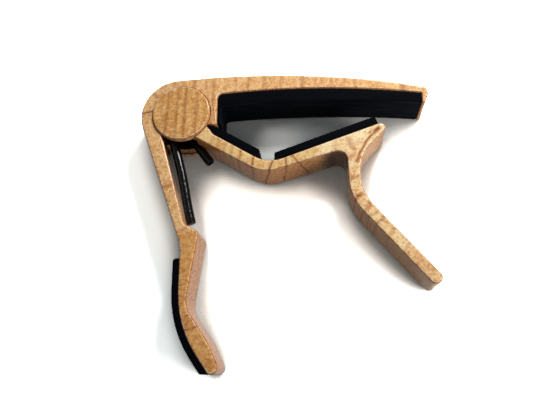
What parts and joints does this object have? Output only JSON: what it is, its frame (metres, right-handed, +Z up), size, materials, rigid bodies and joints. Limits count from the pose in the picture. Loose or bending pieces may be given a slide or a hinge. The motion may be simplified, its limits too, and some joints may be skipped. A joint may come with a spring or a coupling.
{
  "type": "guitar capo",
  "caption": "Spring-loaded trigger guitar capo with a wood-effect finish, an arched padded clamp bar, a padded neck cradle on a pivot and two squeeze levers.",
  "frame": {"origin": "centre of the lower pivot disc's outer face, on the pivot's axis, where the capo rests when it lies on its side", "axes": "+Z up along the pivot, across the strings' clamp bar; +X from the pivot along the clamp bar to its lip; +Y from the neck towards the clamp bar, so the squeeze levers reach towards -Y"},
  "size_m": [0.0812, 0.0825, 0.013],
  "materials": {
    "maple_film": "satin maple-effect film under clear lacquer on cast aluminium alloy",
    "pale_maple_film": "satin paler maple-effect film under clear lacquer on cast aluminium alloy",
    "pin_steel": "plain turned steel",
    "spring_steel": "drawn spring wire",
    "sleeve_rubber": "smooth, slightly glossy tube",
    "pad_rubber": "matt moulded rubber"
  },
  "bodies": {
    "clamp_frame": {"clamp_frame": "maple_film", "front_disc": "maple_film", "rear_disc": "maple_film", "pivot_pin": "pin_steel", "torsion_spring": "spring_steel", "long_leg_sleeve": "sleeve_rubber", "fretboard_pad": "pad_rubber", "grip_pad": "pad_rubber"},
    "neck_arm": {"neck_arm": "pale_maple_film", "near_neck_pad": "pad_rubber", "far_neck_pad": "pad_rubber", "short_leg_sleeve": "sleeve_rubber"}
  },
  "joints": [
    {"name": "jaw_hinge", "type": "hinge", "parent": "clamp_frame", "child": "neck_arm", "pos_m": [0, 0, 0], "axis": [0, 0, -1], "range_deg": [0, 34], "stiffness_Nm_per_rad": 1.9, "springref_deg": -28.65, "deforming": ["torsion_spring"]}
  ]
}
